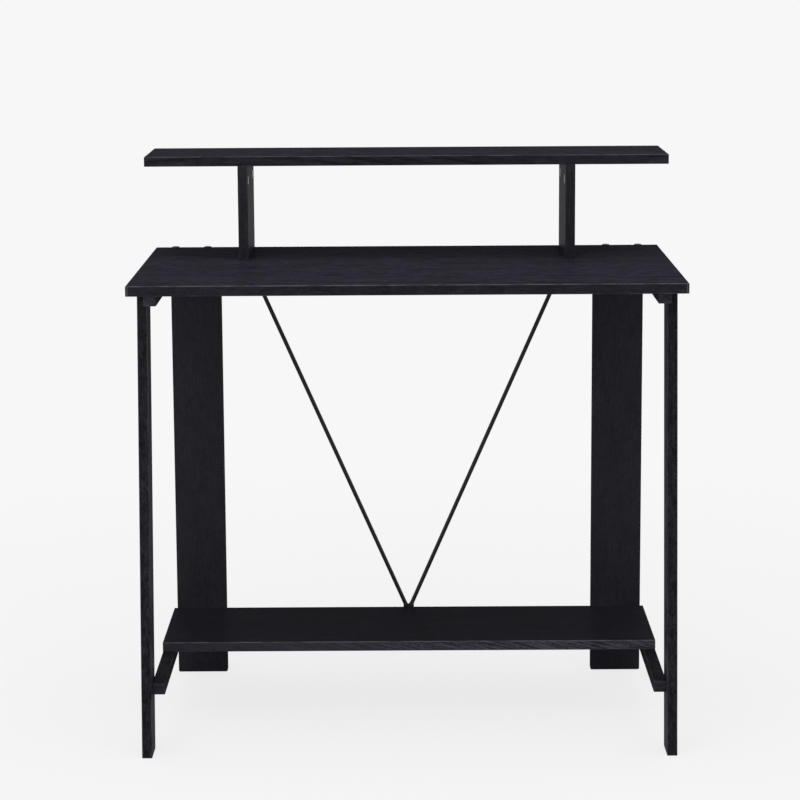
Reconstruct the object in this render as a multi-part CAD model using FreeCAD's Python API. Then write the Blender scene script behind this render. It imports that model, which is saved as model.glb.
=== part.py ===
import FreeCAD
import Part
import math
import os

os.makedirs("parts", exist_ok=True)

# A writing desk of black wood-grain boards with a raised monitor shelf, a low shelf
# and a V-shaped rod brace. All lengths are in millimetres. X runs across the desk and
# zero is its middle, the front faces -Y, and the floor is at Z zero.

# desktop board
desk_width = 860.0
desk_depth = 500.0
desk_height = 750.0
desktop_thick = 16.0

# raised monitor shelf and its two upright supports
raiser_width = 860.0
raiser_depth = 178.0
raiser_thick = 16.0
support_high = 154.0
support_thick = 16.0
support_inset = 153.0

# leaning front legs
front_leg_thick = 16.0
front_leg_width = 52.0
front_leg_overhang = 9.0
front_foot_setback = 5.0
front_leg_lean = 78.0

# upright back legs
back_leg_thick = 16.0
back_leg_width = 86.0
foot_corner_round = 3.0

# side rails under the desktop and under the low shelf
rail_wide = 20.0
rail_high = 18.0
upper_rail_setback = 20.0
lower_rail_setback = 28.0
lower_rail_base = 97.0

# low shelf
low_shelf_setback = 208.0
low_shelf_leg_gap = 56.0
low_shelf_thick = 16.0

# broken edges of the boards and of the rails
board_arris = 0.7
rail_arris = 0.9

# sides of the prisms that stand for thin shanks, dowels and their holes
thin_sides = 12

# fits between a fastener and its hole
snug_gap = 0.1
loose_gap = 0.3
hole_end_gap = 1.0

# machine bolts with a low domed head and a hexagon socket
bolt_radius = 3.0
bolt_head_radius = 6.5
bolt_head_high = 2.4
bolt_head_rim = 1.2
bolt_head_top_radius = 4.9
bolt_socket_half = 2.0
bolt_socket_deep = 1.5
desk_bolt_long = 56.0
desk_bolt_spacing = 55.0
desk_bolt_edge = 9.0
desk_bolt_rear = 8.0
leg_bolt_long = 28.0
rail_bolt_long = 42.0
rail_bolt_recess = 2.6
rail_bolt_recess_gap = 0.5

# barrel nuts
barrel_radius = 5.0
leg_barrel_long = 12.8
leg_barrel_hole_deep = 14.0
leg_barrel_drop = 32.0
leg_barrel_sunk = 1.0
rail_barrel_long = 14.0
rail_barrel_hole_deep = 16.5
rail_barrel_setback = 22.0
rail_barrel_sunk = 1.5

# threaded sleeves in the rails
sleeve_radius = 5.0
sleeve_long = 13.0

# dowels between leg and rail, and between support and board
leg_dowel_radius = 3.0
leg_dowel_in_leg = 10.0
leg_dowel_in_rail = 12.0
leg_dowel_offset = 16.0
support_dowel_radius = 4.0
support_dowel_in_board = 10.0
support_dowel_in_support = 20.0

# wood screws with a flat head and a cross recess
screw_radius = 1.9
screw_head_radius = 3.8
screw_head_high = 2.0
rail_screw_long = 26.0
rail_screw_sunk = 4.0
upper_screw_inset = 25.0
low_screw_inset = 38.0
brace_screw_long = 15.0

# thick screws that rise through the desktop into the supports
support_screw_radius = 2.5
support_screw_head_radius = 4.5
support_screw_head_high = 3.0
support_screw_long = 46.0
support_screw_sunk = 3.4
support_fixing_inset = 38.0

# cam locks that hold the monitor shelf on its supports
cam_radius = 7.5
cam_high = 12.0
cam_drop = 26.0
cam_inset = 30.0
cam_hole_deep = 12.5
cam_slot_wide = 1.4
cam_slot_long = 8.0
cam_slot_deep = 1.6
cam_bore_radius = 3.6
cam_bore_below = 4.0
cam_bolt_neck_radius = 2.0
cam_bolt_thread_radius = 3.0
cam_bolt_thread_long = 11.0
cam_bolt_head_radius = 3.2
cam_bolt_head_high = 3.0
cam_bolt_hole_radius = 4.0

# rod brace: two rods with flattened ends
rod_radius = 3.5
tab_thick = 2.0
tab_half_wide = 5.0
tab_hole_gap = 0.3
press_share = 1 / math.cos(math.pi / thin_sides)
rod_clear_of_edge = 0.5
rear_rod_set_back = 2.0
low_tab_long = 11.0
low_twist_long = 4.0
brace_top_inset = 5.0
brace_top_drop = 10.0
brace_top_lean = 3.0
top_twist_long = 9.0
top_tab_long = 9.0

# values that follow from those above
half_width = desk_width / 2
front_y = -desk_depth / 2
rear_y = desk_depth / 2
under_desk = desk_height - desktop_thick
raiser_under = desk_height + support_high
raiser_height = raiser_under + raiser_thick
raiser_front = rear_y - raiser_depth
support_reach = half_width - support_inset
support_inner = support_reach - support_thick
support_mid = support_reach - support_thick / 2
leg_outer = half_width - front_leg_overhang
leg_inner = leg_outer - front_leg_thick
rail_inner = leg_inner - rail_wide
rail_mid = leg_inner - rail_wide / 2
upper_rail_base = under_desk - rail_high
lower_rail_top = lower_rail_base + rail_high
low_shelf_front = front_y + low_shelf_setback
back_leg_front = rear_y - back_leg_thick
low_shelf_rear = back_leg_front - low_shelf_leg_gap
low_shelf_top = lower_rail_top + low_shelf_thick
upper_rail_front = front_y + upper_rail_setback
upper_screw_ends = (upper_rail_front + upper_screw_inset, back_leg_front - upper_screw_inset)
upper_screw_ys = (upper_screw_ends[0], sum(upper_screw_ends) / 2, upper_screw_ends[1])
low_screw_ys = (low_shelf_front + low_screw_inset, low_shelf_rear - low_screw_inset)
brace_half_top = support_mid - brace_top_inset
lean_per_mm = front_leg_lean / under_desk
desk_bolt_y = rear_y - desk_bolt_rear
desk_bolt_xs = (leg_inner - desk_bolt_edge, leg_inner - desk_bolt_edge - desk_bolt_spacing)
support_ys = (raiser_front + support_fixing_inset, rear_y - support_fixing_inset)
cam_ys = (raiser_front + cam_inset, rear_y - cam_inset)
support_dowel_y = (raiser_front + rear_y) / 2
cam_z = raiser_under - cam_drop
low_hole_z = lower_rail_top + low_shelf_thick / 2
upper_rail_mid = upper_rail_base + rail_high / 2
lower_rail_mid = lower_rail_base + rail_high / 2
sides = (-1, 1)

UP = FreeCAD.Vector(0, 0, 1)
DOWN = FreeCAD.Vector(0, 0, -1)
BACK = FreeCAD.Vector(0, 1, 0)
FORWARD = FreeCAD.Vector(0, -1, 0)


def point(x, y, z):
    return FreeCAD.Vector(x, y, z)


def outward(side):
    return FreeCAD.Vector(side, 0, 0)


def box_between(low, high):
    size = high.sub(low)
    return Part.makeBox(size.x, size.y, size.z, low)


def break_edges(shape, size):
    return shape.makeChamfer(size, shape.Edges)


def drum(start, direction, radius, length):
    return Part.makeCylinder(radius, length, start, direction)


def ring_points(middle, across, over, half_across, half_over):
    # points of a many-sided ring, each set half a side round from the across direction
    points = []
    for step in range(thin_sides + 1):
        turn = 2 * math.pi * (step + 0.5) / thin_sides
        points.append(middle + across * (half_across * math.cos(turn)) + over * (half_over * math.sin(turn)))
    return points


def thin_bar(start, direction, radius, length):
    # a slim round bar or hole, drawn as a prism to keep its faces few
    way = FreeCAD.Vector(direction).normalize()
    turned = FreeCAD.Rotation(UP, way)
    ring = ring_points(start, turned.multVec(point(1, 0, 0)), turned.multVec(BACK), radius, radius)
    return Part.Face(Part.makePolygon(ring)).extrude(way * length)


def cut_all(shape, tools):
    return shape.cut(Part.makeCompound(tools)) if tools else shape


def aim(shape, start, direction):
    # a fastener is drawn along +Z from its head seat, then turned and moved
    turned = shape.copy()
    turned.Placement = FreeCAD.Placement(start, FreeCAD.Rotation(UP, direction))
    return turned


def largest_solid(shape):
    return max(shape.Solids, key=lambda solid: solid.Volume)


def mirrored(shape):
    return shape.mirror(point(0, 0, 0), outward(1))


def leg_edge_y(z):
    # the front edge of a front leg moves back as it rises
    return front_y + front_foot_setback + lean_per_mm * z


def leg_mid_y(z):
    return leg_edge_y(z) + front_leg_width / 2


def hexagon_socket():
    corner = bolt_socket_half / math.cos(math.radians(30))
    corners = []
    for step in range(7):
        angle = math.radians(60 * step)
        corners.append(point(corner * math.cos(angle), corner * math.sin(angle), -bolt_head_high))
    return Part.Face(Part.makePolygon(corners)).extrude(point(0, 0, bolt_socket_deep))


def cross_slots(wide, long, top_z, deep):
    first = box_between(point(-long / 2, -wide / 2, top_z), point(long / 2, wide / 2, top_z + deep))
    second = box_between(point(-wide / 2, -long / 2, top_z), point(wide / 2, long / 2, top_z + deep))
    return first.fuse(second)


def machine_bolt(length):
    # a low head with a sloping crown, a hexagon socket and a plain shank
    rim = drum(point(0, 0, -bolt_head_rim), UP, bolt_head_radius, bolt_head_rim)
    crown = Part.makeCone(bolt_head_top_radius, bolt_head_radius, bolt_head_high - bolt_head_rim,
                          point(0, 0, -bolt_head_high), UP)
    shank = thin_bar(point(0, 0, 0), UP, bolt_radius, length)
    return rim.fuse([crown, shank]).cut(hexagon_socket())


def wood_screw(length, radius, head_radius, head_high):
    head = thin_bar(point(0, 0, -head_high), UP, head_radius, head_high)
    return head.fuse(thin_bar(point(0, 0, 0), UP, radius, length))


def desktop():
    board = box_between(point(-half_width, front_y, under_desk), point(half_width, rear_y, desk_height))
    board = break_edges(board, board_arris)
    holes = []
    for side in sides:
        for x in desk_bolt_xs:
            holes.append(thin_bar(point(side * x, desk_bolt_y, under_desk), UP,
                               bolt_radius + loose_gap, desktop_thick))
        for y in support_ys:
            low = point(side * support_mid, y, under_desk)
            holes.append(thin_bar(low, UP, support_screw_radius + snug_gap, desktop_thick))
            holes.append(thin_bar(low, UP, support_screw_head_radius + loose_gap, support_screw_sunk))
        dowel_start = point(side * support_mid, support_dowel_y, desk_height)
        holes.append(thin_bar(dowel_start, DOWN, support_dowel_radius + snug_gap,
                           support_dowel_in_board + hole_end_gap))
        for y in upper_screw_ys:
            low = point(side * rail_mid, y, under_desk)
            depth = rail_screw_long - rail_high + rail_screw_sunk + hole_end_gap
            holes.append(thin_bar(low, UP, screw_radius + snug_gap, depth))
        low = point(side * brace_hole_x(), brace_top_y(), under_desk)
        holes.append(thin_bar(low, UP, screw_radius + snug_gap,
                           brace_screw_long - tab_thick + hole_end_gap))
    return cut_all(board, holes)


def monitor_shelf():
    board = box_between(point(-raiser_width / 2, raiser_front, raiser_under),
                        point(raiser_width / 2, rear_y, raiser_height))
    board = break_edges(board, board_arris)
    holes = []
    for side in sides:
        for y in cam_ys:
            holes.append(thin_bar(point(side * support_mid, y, raiser_under), UP,
                               cam_bolt_thread_radius + snug_gap, cam_bolt_thread_long + hole_end_gap))
        holes.append(thin_bar(point(side * support_mid, support_dowel_y, raiser_under), UP,
                           support_dowel_radius + snug_gap, support_dowel_in_board + hole_end_gap))
    return cut_all(board, holes)


def support_right():
    board = box_between(point(support_inner, raiser_front, desk_height),
                        point(support_reach, rear_y, raiser_under))
    board = break_edges(board, board_arris)
    holes = []
    for y in cam_ys:
        holes.append(drum(point(support_inner, y, cam_z), outward(1), cam_radius + snug_gap, cam_hole_deep))
        holes.append(thin_bar(point(support_mid, y, cam_z), UP, cam_bolt_hole_radius, cam_drop))
    for y in support_ys:
        depth = support_screw_long - desktop_thick + support_screw_sunk + hole_end_gap
        holes.append(thin_bar(point(support_mid, y, desk_height), UP,
                           support_screw_radius + snug_gap, depth))
    for z, direction in ((desk_height, UP), (raiser_under, DOWN)):
        holes.append(thin_bar(point(support_mid, support_dowel_y, z), direction,
                           support_dowel_radius + snug_gap, support_dowel_in_support + hole_end_gap))
    return cut_all(board, holes)


def front_leg_right():
    # a plank cut level at the foot and at the top, leaning back as it rises
    foot = front_y + front_foot_setback
    corners = [point(leg_inner, foot, 0),
               point(leg_inner, foot + front_leg_width, 0),
               point(leg_inner, foot + front_leg_width + front_leg_lean, under_desk),
               point(leg_inner, foot + front_leg_lean, under_desk)]
    outline = Part.makePolygon(corners + corners[:1])
    plank = break_edges(Part.Face(outline).extrude(point(front_leg_thick, 0, 0)), board_arris)
    holes = []
    for z in (upper_rail_mid, lower_rail_mid):
        holes.append(thin_bar(point(leg_inner, leg_mid_y(z), z), outward(1),
                           bolt_radius + loose_gap, front_leg_thick))
        holes.append(thin_bar(point(leg_inner, leg_mid_y(z) + leg_dowel_offset, z), outward(1),
                           leg_dowel_radius + snug_gap, leg_dowel_in_leg + hole_end_gap))
    return cut_all(plank, holes)


def back_leg_right():
    plank = box_between(point(leg_inner - back_leg_width, back_leg_front, 0),
                        point(leg_inner, rear_y, under_desk))
    low_edges = [edge for edge in plank.Edges
                 if abs(edge.CenterOfMass.z) < snug_gap and abs(edge.tangentAt(edge.FirstParameter).y) > 0.5]
    plank = plank.makeFillet(foot_corner_round, low_edges)
    plank = break_edges(plank, board_arris)
    holes = []
    for x in desk_bolt_xs:
        holes.append(thin_bar(point(x, desk_bolt_y, under_desk), DOWN, bolt_radius + loose_gap,
                           desk_bolt_long - desktop_thick + hole_end_gap))
        holes.append(thin_bar(point(x, rear_y, under_desk - leg_barrel_drop), FORWARD,
                              barrel_radius + snug_gap, leg_barrel_hole_deep))
    rear = point(rail_mid, rear_y, lower_rail_mid)
    holes.append(thin_bar(rear, FORWARD, bolt_radius + loose_gap, back_leg_thick))
    holes.append(drum(rear, FORWARD, bolt_head_radius + rail_bolt_recess_gap, rail_bolt_recess))
    return cut_all(plank, holes)


def rail_bar(setback, base_z):
    bar = box_between(point(rail_inner, front_y + setback, base_z),
                      point(leg_inner, back_leg_front, base_z + rail_high))
    return break_edges(bar, rail_arris)


def side_holes(z):
    # a threaded sleeve and a dowel stand side by side where a rail meets a front leg
    return [thin_bar(point(leg_inner, leg_mid_y(z), z), outward(-1),
                  sleeve_radius + snug_gap, sleeve_long + hole_end_gap),
            thin_bar(point(leg_inner, leg_mid_y(z) + leg_dowel_offset, z), outward(-1),
                  leg_dowel_radius + snug_gap, leg_dowel_in_rail + hole_end_gap)]


def screw_holes(screw_ys, base_z):
    holes = []
    for y in screw_ys:
        low = point(rail_mid, y, base_z)
        holes.append(thin_bar(low, UP, screw_radius + snug_gap, rail_high))
        holes.append(thin_bar(low, UP, screw_head_radius + loose_gap, rail_screw_sunk))
    return holes


def upper_rail_right():
    bar = rail_bar(upper_rail_setback, upper_rail_base)
    holes = side_holes(upper_rail_mid) + screw_holes(upper_screw_ys, upper_rail_base)
    return cut_all(bar, holes)


def lower_rail_right():
    bar = rail_bar(lower_rail_setback, lower_rail_base)
    holes = side_holes(lower_rail_mid) + screw_holes(low_screw_ys, lower_rail_base)
    reach = rail_bolt_long - back_leg_thick + rail_bolt_recess + hole_end_gap
    holes.append(thin_bar(point(rail_mid, back_leg_front, lower_rail_mid), FORWARD,
                       bolt_radius + loose_gap, reach))
    holes.append(thin_bar(point(rail_inner, back_leg_front - rail_barrel_setback, lower_rail_mid),
                          outward(1), barrel_radius + snug_gap, rail_barrel_hole_deep))
    return cut_all(bar, holes)


def low_shelf():
    board = box_between(point(-leg_inner, low_shelf_front, lower_rail_top),
                        point(leg_inner, low_shelf_rear, low_shelf_top))
    board = break_edges(board, board_arris)
    depth = rail_screw_long - rail_high + rail_screw_sunk + hole_end_gap
    holes = []
    for side in sides:
        for y in low_screw_ys:
            holes.append(thin_bar(point(side * rail_mid, y, lower_rail_top), UP,
                                  screw_radius + snug_gap, depth))
    holes.append(thin_bar(point(0, low_shelf_rear, low_hole_z), FORWARD, screw_radius + snug_gap,
                       brace_screw_long - tab_thick + hole_end_gap))
    return cut_all(board, holes)


def brace_top_y():
    return low_shelf_rear + rod_radius + rod_clear_of_edge + brace_top_lean


def brace_hole_x():
    return brace_half_top + top_twist_long + top_tab_long


def round_wire(middle, across, over):
    return Part.makePolygon(ring_points(middle, across, over, rod_radius, rod_radius))


def flat_wire(middle, across, over):
    # the same ring pressed flat: its points spread across the tab and share its two faces
    half_thick = tab_thick / 2
    points = []
    for spread in ring_points(point(0, 0, 0), point(1, 0, 0), BACK, 1, 1):
        along = tab_half_wide * max(-1, min(1, spread.x * press_share))
        rise = half_thick if spread.y > 0 else -half_thick
        points.append(middle + across * along + over * rise)
    return Part.makePolygon(points)


def flat_tab(start, middle_hole, across, over):
    # the flat end runs from its start to the screw hole and ends in a half circle
    blank = Part.Face(flat_wire(start, across, over)).extrude(middle_hole - start)
    disc = Part.makeCylinder(tab_half_wide, tab_thick, middle_hole - over * (tab_thick / 2), over)
    hole = thin_bar(middle_hole - over * tab_thick, over, screw_radius + tab_hole_gap, tab_thick * 2)
    return blank.fuse(disc), hole


def brace_rod(side, low_tab_y, low_bend):
    # the low bend sets the round bar back from the middle of its low tab
    low_hole = point(0, low_tab_y, low_hole_z)
    top = point(side * brace_half_top, brace_top_y(), under_desk - brace_top_drop)
    flat_way = point(top.x, 0, top.z - low_hole_z)
    flat_way.normalize()
    low_start = low_hole + flat_way * low_tab_long
    rod_start = low_start + flat_way * low_twist_long
    rod_start.y = low_tab_y + low_bend
    rod_way = top - rod_start
    rod_way.normalize()
    across = flat_way.cross(BACK)
    low_flat = flat_wire(low_start, across, BACK)
    ring_across = (across - rod_way * across.dot(rod_way)).normalize()
    ring_over = rod_way.cross(ring_across) * (1 if rod_way.cross(ring_across).y > 0 else -1)
    low_twist = Part.makeLoft([low_flat, round_wire(rod_start, ring_across, ring_over)], True, True)
    bar_ring = round_wire(rod_start, ring_across, ring_over)
    bar = Part.Face(bar_ring).extrude(top - rod_start)
    tab_middle = under_desk - tab_thick / 2
    top_start = point(top.x + side * top_twist_long, top.y, tab_middle)
    top_hole = point(side * brace_hole_x(), top.y, tab_middle)
    top_across = ring_over
    top_over = ring_across * (-1 if ring_across.x * side > 0 else 1)
    top_twist = Part.makeLoft([round_wire(top, top_across, top_over), flat_wire(top_start, BACK, UP)],
                              True, True)
    low_tab, low_bore = flat_tab(low_start, low_hole, across, BACK)
    top_tab, top_bore = flat_tab(top_start, top_hole, BACK, UP)
    whole = bar.fuse([low_twist, top_twist, low_tab, top_tab])
    return largest_solid(whole.cut(Part.makeCompound([low_bore, top_bore])).removeSplitter())


def desktop_bolts():
    bolt = machine_bolt(desk_bolt_long)
    return [aim(bolt, point(side * x, desk_bolt_y, desk_height), DOWN)
            for side in sides for x in desk_bolt_xs]


def barrel_nut(length, cross_at, start, direction, bolt_way):
    nut = thin_bar(start, direction, barrel_radius, length)
    bolt_start = start + direction * cross_at - bolt_way * (barrel_radius * 2)
    return nut.cut(thin_bar(bolt_start, bolt_way, bolt_radius + snug_gap, barrel_radius * 4))


def back_leg_barrel_nuts():
    nuts = []
    for side in sides:
        for x in desk_bolt_xs:
            start = point(side * x, rear_y - leg_barrel_sunk, under_desk - leg_barrel_drop)
            nuts.append(barrel_nut(leg_barrel_long, desk_bolt_rear - leg_barrel_sunk, start, FORWARD, UP))
    return nuts


def leg_bolts():
    bolt = machine_bolt(leg_bolt_long)
    return [aim(bolt, point(side * leg_outer, leg_mid_y(z), z), outward(-side))
            for side in sides for z in (upper_rail_mid, lower_rail_mid)]


def leg_sleeves():
    sleeves = []
    for side in sides:
        for z in (upper_rail_mid, lower_rail_mid):
            start = point(side * leg_inner, leg_mid_y(z), z)
            outer = thin_bar(start, outward(-side), sleeve_radius, sleeve_long)
            sleeves.append(outer.cut(thin_bar(start, outward(-side), bolt_radius + snug_gap, sleeve_long)))
    return sleeves


def leg_dowels():
    long = leg_dowel_in_leg + leg_dowel_in_rail
    return [thin_bar(point(side * (leg_inner - leg_dowel_in_rail), leg_mid_y(z) + leg_dowel_offset, z),
                  outward(side), leg_dowel_radius, long)
            for side in sides for z in (upper_rail_mid, lower_rail_mid)]


def rail_bolts():
    bolt = machine_bolt(rail_bolt_long)
    return [aim(bolt, point(side * rail_mid, rear_y - rail_bolt_recess, lower_rail_mid), FORWARD)
            for side in sides]


def rail_barrel_nuts():
    nuts = []
    for side in sides:
        start = point(side * (rail_inner + rail_barrel_sunk), back_leg_front - rail_barrel_setback, lower_rail_mid)
        cross_at = rail_wide / 2 - rail_barrel_sunk
        nuts.append(barrel_nut(rail_barrel_long, cross_at, start, outward(side), FORWARD))
    return nuts


def rail_screws(screw_ys, base_z):
    screw = wood_screw(rail_screw_long, screw_radius, screw_head_radius, screw_head_high)
    return [aim(screw, point(side * rail_mid, y, base_z + rail_screw_sunk), UP)
            for side in sides for y in screw_ys]


def brace_screws():
    screw = wood_screw(brace_screw_long, screw_radius, screw_head_radius, screw_head_high)
    placed = [aim(screw, point(side * brace_hole_x(), brace_top_y(), under_desk - tab_thick), UP)
              for side in sides]
    placed.append(aim(screw, point(0, low_shelf_rear + tab_thick * 2, low_hole_z), FORWARD))
    return placed


def support_screws():
    screw = wood_screw(support_screw_long, support_screw_radius, support_screw_head_radius,
                       support_screw_head_high)
    return [aim(screw, point(side * support_mid, y, under_desk + support_screw_sunk), UP)
            for side in sides for y in support_ys]


def support_dowels(z, way):
    start_z = z - way * support_dowel_in_board
    long = support_dowel_in_board + support_dowel_in_support
    return [thin_bar(point(side * support_mid, support_dowel_y, start_z), point(0, 0, way),
                  support_dowel_radius, long) for side in sides]


def cam_locks():
    # a drum with a cross slot on its face and a bore on its rim for the bolt head
    body = drum(point(0, 0, 0), UP, cam_radius, cam_high)
    body = body.cut(cross_slots(cam_slot_wide, cam_slot_long, 0, cam_slot_deep))
    locks = []
    for side in sides:
        for y in cam_ys:
            placed = aim(body, point(side * support_inner, y, cam_z), outward(side))
            bore = thin_bar(point(side * support_mid, y, cam_z - cam_bore_below), UP,
                         cam_bore_radius, cam_bore_below + cam_radius)
            locks.append(placed.cut(bore))
    return locks


def cam_bolts():
    bolts = []
    for side in sides:
        for y in cam_ys:
            low = point(side * support_mid, y, cam_z - cam_bolt_head_high / 2)
            head = thin_bar(low, UP, cam_bolt_head_radius, cam_bolt_head_high)
            neck = thin_bar(low, UP, cam_bolt_neck_radius, cam_drop + cam_bolt_head_high / 2)
            thread = thin_bar(point(side * support_mid, y, raiser_under), UP,
                           cam_bolt_thread_radius, cam_bolt_thread_long)
            bolts.append(head.fuse([neck, thread]).removeSplitter())
    return bolts


def save(node, shape):
    solids = shape if isinstance(shape, list) else [shape]
    body = Part.makeCompound(solids) if len(solids) > 1 else solids[0]
    body.exportStep("parts/" + node + ".step")


def save_pair(name, right_shape):
    save(name + "_right", right_shape)
    save(name + "_left", mirrored(right_shape))


def build():
    save("desktop", desktop())
    save("monitor_shelf", monitor_shelf())
    save_pair("shelf_support", support_right())
    save_pair("front_leg", front_leg_right())
    save_pair("back_leg", back_leg_right())
    save_pair("upper_rail", upper_rail_right())
    save_pair("lower_rail", lower_rail_right())
    save("low_shelf", low_shelf())
    low_bend = rod_radius + rod_clear_of_edge - tab_thick / 2
    save("brace_rod_left", brace_rod(-1, low_shelf_rear + tab_thick / 2, low_bend))
    save("brace_rod_right", brace_rod(1, low_shelf_rear + tab_thick * 3 / 2, low_bend + rear_rod_set_back))
    save("desktop_bolts", desktop_bolts())
    save("back_leg_barrel_nuts", back_leg_barrel_nuts())
    save("leg_bolts", leg_bolts())
    save("leg_sleeves", leg_sleeves())
    save("leg_dowels", leg_dowels())
    save("rail_bolts", rail_bolts())
    save("rail_barrel_nuts", rail_barrel_nuts())
    save("upper_rail_screws", rail_screws(upper_screw_ys, upper_rail_base))
    save("low_shelf_screws", rail_screws(low_screw_ys, lower_rail_base))
    save("brace_screws", brace_screws())
    save("support_screws", support_screws())
    save("desktop_dowels", support_dowels(desk_height, 1))
    save("monitor_shelf_dowels", support_dowels(raiser_under, -1))
    save("cam_locks", cam_locks())
    save("cam_bolts", cam_bolts())


build()
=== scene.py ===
import math

import bpy
import numpy as np
from mathutils import Matrix, Vector


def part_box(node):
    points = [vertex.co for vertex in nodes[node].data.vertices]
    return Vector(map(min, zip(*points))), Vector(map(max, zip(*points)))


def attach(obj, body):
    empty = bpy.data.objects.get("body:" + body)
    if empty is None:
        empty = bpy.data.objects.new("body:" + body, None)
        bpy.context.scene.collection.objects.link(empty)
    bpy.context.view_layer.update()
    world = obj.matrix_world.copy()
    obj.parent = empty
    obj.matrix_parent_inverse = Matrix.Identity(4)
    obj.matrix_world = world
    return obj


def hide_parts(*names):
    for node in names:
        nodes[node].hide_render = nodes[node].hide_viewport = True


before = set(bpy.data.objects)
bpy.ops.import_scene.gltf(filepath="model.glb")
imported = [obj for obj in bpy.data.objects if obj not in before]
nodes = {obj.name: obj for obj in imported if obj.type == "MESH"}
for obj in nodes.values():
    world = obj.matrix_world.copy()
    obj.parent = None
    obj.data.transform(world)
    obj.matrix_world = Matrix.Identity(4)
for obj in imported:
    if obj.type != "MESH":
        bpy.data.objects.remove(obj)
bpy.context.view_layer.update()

# Places read from the frame's boxes, in metres. The front is -Y, the desk's right side is +X, up is +Z.
desktop_low, desktop_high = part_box("desktop")
support_low, support_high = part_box("shelf_support_right")
leg_low, leg_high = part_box("front_leg_right")
upper_rail_low, upper_rail_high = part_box("upper_rail_right")
lower_rail_low, lower_rail_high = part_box("lower_rail_right")
low_shelf_low, low_shelf_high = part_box("low_shelf")
back_leg_low, back_leg_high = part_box("back_leg_right")
rail_mid_x = (lower_rail_low.x + lower_rail_high.x) / 2
upper_rail_mid_z = (upper_rail_low.z + upper_rail_high.z) / 2
lower_rail_mid_z = (lower_rail_low.z + lower_rail_high.z) / 2
support_mid_x = (support_low.x + support_high.x) / 2
low_shelf_mid_z = (low_shelf_low.z + low_shelf_high.z) / 2

# The front legs' width, and how far back they lean per metre of height.
leg_width = 0.052
leg_lean = (leg_high.y - leg_low.y - leg_width) / leg_high.z

# Rod brace, in metres.
rod_radius = 0.0035
tab_half_wide = 0.005
tab_half_thick = 0.001
low_tab_long = 0.011
low_press_long = 0.004
rod_top_inset = 0.005
rod_top_drop = 0.010
rod_top_lean = 0.003
top_bend_long = 0.009
top_tab_long = 0.009
rod_clear_of_edge = 0.0005
rear_rod_set_back = 0.002
bend_corner_out = 0.004
bend_corner_drop = 0.0015
tab_squareness = 7
bar_squareness = 2
smallest_end_turn = 0.06
rod_top_x = support_mid_x - rod_top_inset
rod_top_y = low_shelf_high.y + rod_radius + rod_clear_of_edge + rod_top_lean
top_hole_x = rod_top_x + top_bend_long + top_tab_long

# Domed bolts with a hexagon socket.
bolt_radius = 0.003
bolt_head_radius = 0.0065
bolt_head_high = 0.0024
bolt_rim_high = 0.0012
bolt_socket_radius = 0.0023
bolt_socket_deep = 0.0015
bolt_socket_flare = 0.0004
bolt_flare_deep = 0.00015
bolt_flat_wide = 0.0010
bolt_rim_round = 0.0003
bolt_tip_taper = 0.0008
bolt_thread_start = 0.4
bolt_thread_pitch = 0.001
bolt_thread_deep = 0.00045
desk_bolt_long = 0.056
desk_bolt_edge = 0.009
desk_bolt_spacing = 0.055
desk_bolt_rear = 0.008
leg_bolt_long = 0.028
rail_bolt_long = 0.042
rail_bolt_recess = 0.0026
outer_bolt_x = leg_low.x - desk_bolt_edge
inner_bolt_x = outer_bolt_x - desk_bolt_spacing

# Wood screws with a cross recess.
screw_radius = 0.0019
screw_head_radius = 0.0038
screw_head_high = 0.002
screw_thread_pitch = 0.0016
screw_thread_share = 0.26
screw_tip_long = 0.004
screw_cross_deep = 0.6
rail_screw_long = 0.026
rail_screw_sunk = 0.004
upper_screw_inset = 0.025
low_screw_inset = 0.038
brace_screw_long = 0.015
support_screw_radius = 0.0025
support_screw_head_radius = 0.0045
support_screw_head_high = 0.003
support_screw_long = 0.046
support_screw_sunk = 0.0034
support_screw_inset = 0.038

# Barrel nuts with a slot, and cam locks with a cross.
barrel_radius = 0.005
barrel_chamfer = 0.0003
barrel_slot_deep = 0.0012
leg_barrel_long = 0.0128
leg_barrel_drop = 0.032
leg_barrel_sunk = 0.001
rail_barrel_long = 0.014
rail_barrel_setback = 0.022
rail_barrel_sunk = 0.0015
cam_radius = 0.0075
cam_high = 0.012
cam_drop = 0.026
cam_inset = 0.030
cam_cross_radius = 0.0050
cam_cross_deep = 0.0016
cam_rim = 0.0004
cam_lip = 0.0001

# The widths of the recesses' arms, as shares of how far the arms reach.
cross_arm_wide = 0.19
slot_wide = 0.16
slot_squareness = 10

# The desk's left and right sides, and directions.
sides = (-1, 1)
up = (0, 0, 1)
down = (0, 0, -1)
forward = (0, -1, 0)

# Colours, as linear light.
board_dark = (0.0108, 0.0102, 0.0124)
board_pale = (0.0252, 0.0237, 0.0290)
# Painted highlight and wear: the pale colour of the boards' edges.
board_worn_lit_edge = (0.125, 0.120, 0.130)
edge_tint = (1.0, 0.99, 1.08)
# Painted light: the pale colour of the low shelf's lit front strip.
band_painted_light = (0.070, 0.066, 0.0855)
zinc_tint = (0.50, 0.51, 0.53)
cast_zinc_tint = (0.26, 0.26, 0.28)
background_white = (0.93, 0.93, 0.93)
studio_glow = (0.62, 0.62, 0.63)


# Shader building

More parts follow.
